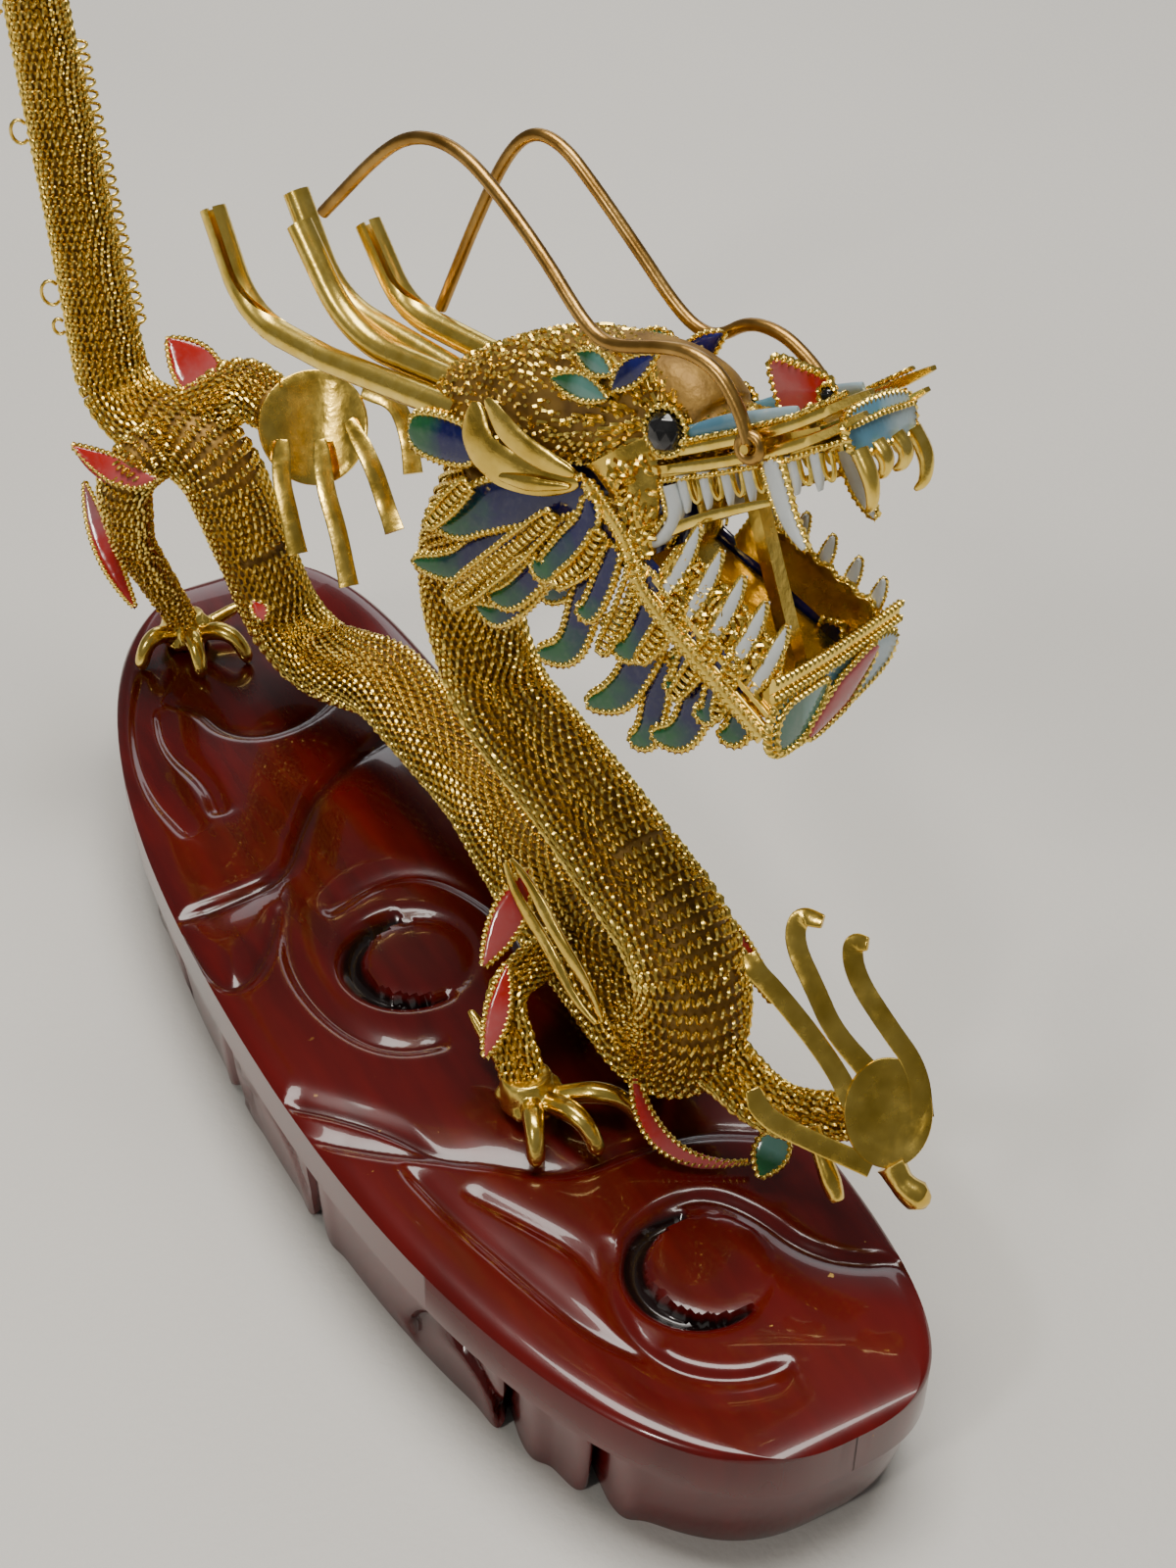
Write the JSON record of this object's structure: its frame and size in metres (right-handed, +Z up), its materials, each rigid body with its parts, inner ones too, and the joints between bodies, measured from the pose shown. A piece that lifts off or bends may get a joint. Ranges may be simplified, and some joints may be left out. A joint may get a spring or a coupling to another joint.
{
  "type": "dragon figurine on a carved stand",
  "caption": "Gilt wirework dragon with enamelled flames, horns and springy whiskers, standing on a bowed oval stand of carved, lacquered wood.",
  "frame": {"origin": "middle of the stand's flat underside", "axes": "+X the way the dragon faces along the stand, +Y its left, +Z up"},
  "size_m": [0.1558, 0.0548, 0.1355],
  "materials": {
    "lacquered_wood": "high-gloss oxblood lacquer",
    "gilt_wirework": "gilt filigree wire, burnished",
    "gilt_sheet": "gilt sheet, polished and hand-cut",
    "bronzed_wire": "toned drawn wire",
    "blue_enamel": "cobalt glass enamel in rope-wire cells",
    "green_enamel": "green glass enamel in rope-wire cells",
    "red_enamel": "scarlet glass enamel in rope-wire cells",
    "white_enamel": "white glass enamel in rope-wire cells",
    "black_bead": "polished black glass bead"
  },
  "bodies": {
    "stand": {"stand_skirt": "lacquered_wood", "stand_slab": "lacquered_wood"},
    "whisker_r": {"right_whisker": "bronzed_wire"},
    "whisker_l": {"left_whisker": "bronzed_wire"},
    "dragon": {"body_flame": "red_enamel", "breast_flame": "red_enamel", "breast_frame": "gilt_sheet", "chest_mesh": "gilt_wirework", "chin_plate": "green_enamel", "front_fangs": "white_enamel", "hip_mesh": "gilt_wirework", "jaw_strut": "gilt_sheet", "jaw_tray": "gilt_sheet", "left_brow": "green_enamel", "left_ear": "gilt_sheet", "left_elbow_tuft": "green_enamel", "left_eye": "black_bead", "left_fore_paw": "gilt_sheet", "left_foreleg": "gilt_wirework", "left_hind_paw": "gilt_sheet", "left_inner_horn": "gilt_sheet", "left_jaw_rail": "gilt_sheet", "left_lower_teeth": "white_enamel", "left_mane": "blue_enamel", "left_outer_horn": "gilt_sheet", "left_shoulder_flame": "red_enamel", "left_thigh": "gilt_wirework", "left_thigh_flame": "red_enamel", "left_upper_teeth": "white_enamel", "left_whisker_pin": "gilt_sheet", "neck_mesh": "gilt_wirework", "nose_bridge": "gilt_sheet", "nose_plate": "red_enamel", "palate": "gilt_sheet", "right_brow": "green_enamel", "right_ear": "gilt_sheet", "right_eye": "black_bead", "right_fore_paw": "gilt_sheet", "right_foreleg": "gilt_wirework", "right_foreleg_flame": "red_enamel", "right_hind_paw": "gilt_sheet", "right_inner_horn": "gilt_sheet", "right_jaw_rail": "gilt_sheet", "right_lower_teeth": "white_enamel", "right_mane": "blue_enamel", "right_outer_horn": "gilt_sheet", "right_shin": "gilt_wirework", "right_shin_flame": "red_enamel", "right_shoulder_flame": "red_enamel", "right_thigh": "gilt_wirework", "right_thigh_flame": "red_enamel", "right_upper_teeth": "white_enamel", "right_whisker_pin": "gilt_sheet", "skull": "gilt_wirework", "tail_flame": "green_enamel", "tail_mesh": "gilt_wirework", "torso_mesh": "gilt_wirework"}
  },
  "joints": [
    {"name": "dragon_lift", "type": "slide", "parent": "stand", "child": "dragon", "axis": [0, 0, 1], "range_m": [0, 0.006]},
    {"name": "whisker_flex_r", "type": "hinge", "parent": "dragon", "child": "whisker_r", "pos_m": [0.03467, 0.00875, 0.09583], "axis": [-0.3772, 0.8975, -0.2287], "range_deg": [-2, 5], "stiffness_Nm_per_rad": 0.1},
    {"name": "whisker_flex_l", "type": "hinge", "parent": "dragon", "child": "whisker_l", "pos_m": [0.02992, 0.02073, 0.09295], "axis": [-0.3772, 0.8975, -0.2287], "range_deg": [-2, 5], "stiffness_Nm_per_rad": 0.1}
  ]
}
